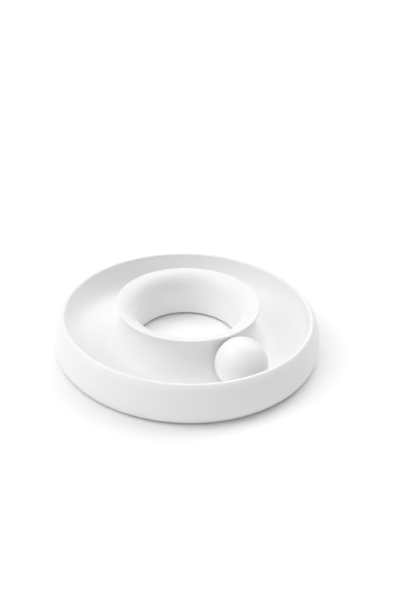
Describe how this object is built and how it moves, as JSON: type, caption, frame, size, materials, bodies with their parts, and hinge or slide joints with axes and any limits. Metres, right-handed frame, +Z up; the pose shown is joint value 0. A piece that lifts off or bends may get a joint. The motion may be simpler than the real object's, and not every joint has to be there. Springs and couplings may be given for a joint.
{
  "type": "cat ball track toy",
  "caption": "Round low tray with a deep ring-shaped ball track, a flared open centre and a hollow rattling ball that rolls round the track.",
  "frame": {"origin": "centre of the tray on the ground plane that the foot rings stand on", "axes": "+Z up along the tray's axis; the ball rests in the track at about 58 degrees clockwise from +X seen from above, towards -Y"},
  "size_m": [0.2688, 0.2688, 0.055],
  "materials": {
    "tray_plastic": "fine satin white moulded plastic",
    "base_plastic": "lightly textured white moulded plastic",
    "foot_rubber": "soft matte pale grey silicone",
    "screw_steel": "zinc-plated steel",
    "ball_plastic": "fine satin white moulded plastic",
    "bell_brass": "pressed bright brass",
    "pea_steel": "plain steel ball"
  },
  "bodies": {
    "tray": {"track_shell": "tray_plastic", "centre_funnel": "tray_plastic", "base_plate": "base_plastic", "outer_foot_ring": "foot_rubber", "inner_foot_ring": "foot_rubber", "outer_screws": "screw_steel", "inner_screws": "screw_steel"},
    "bell": {"bell_upper_shell": "bell_brass", "bell_lower_shell": "bell_brass", "bell_loop": "bell_brass"},
    "ball": {"ball_upper_half": "ball_plastic", "ball_lower_half": "ball_plastic"},
    "pea": {"bell_pea": "pea_steel"}
  },
  "joints": [
    {"name": "ball_orbit", "type": "hinge", "parent": "tray", "child": "bell", "pos_m": [0, 0, 0], "axis": [0, 0, 1], "continuous": true},
    {"name": "ball_roll", "type": "hinge", "parent": "bell", "child": "ball", "pos_m": [0.04992, -0.08083, 0.0306], "axis": [0.5255, -0.8508, 0], "continuous": true},
    {"name": "pea_hop", "type": "slide", "parent": "bell", "child": "pea", "axis": [0, 0, 1], "range_m": [0, 0.0085]}
  ],
  "couplings": [
    {"joint": "ball_roll", "follows": "ball_orbit", "ratio": -3.8934}
  ]
}
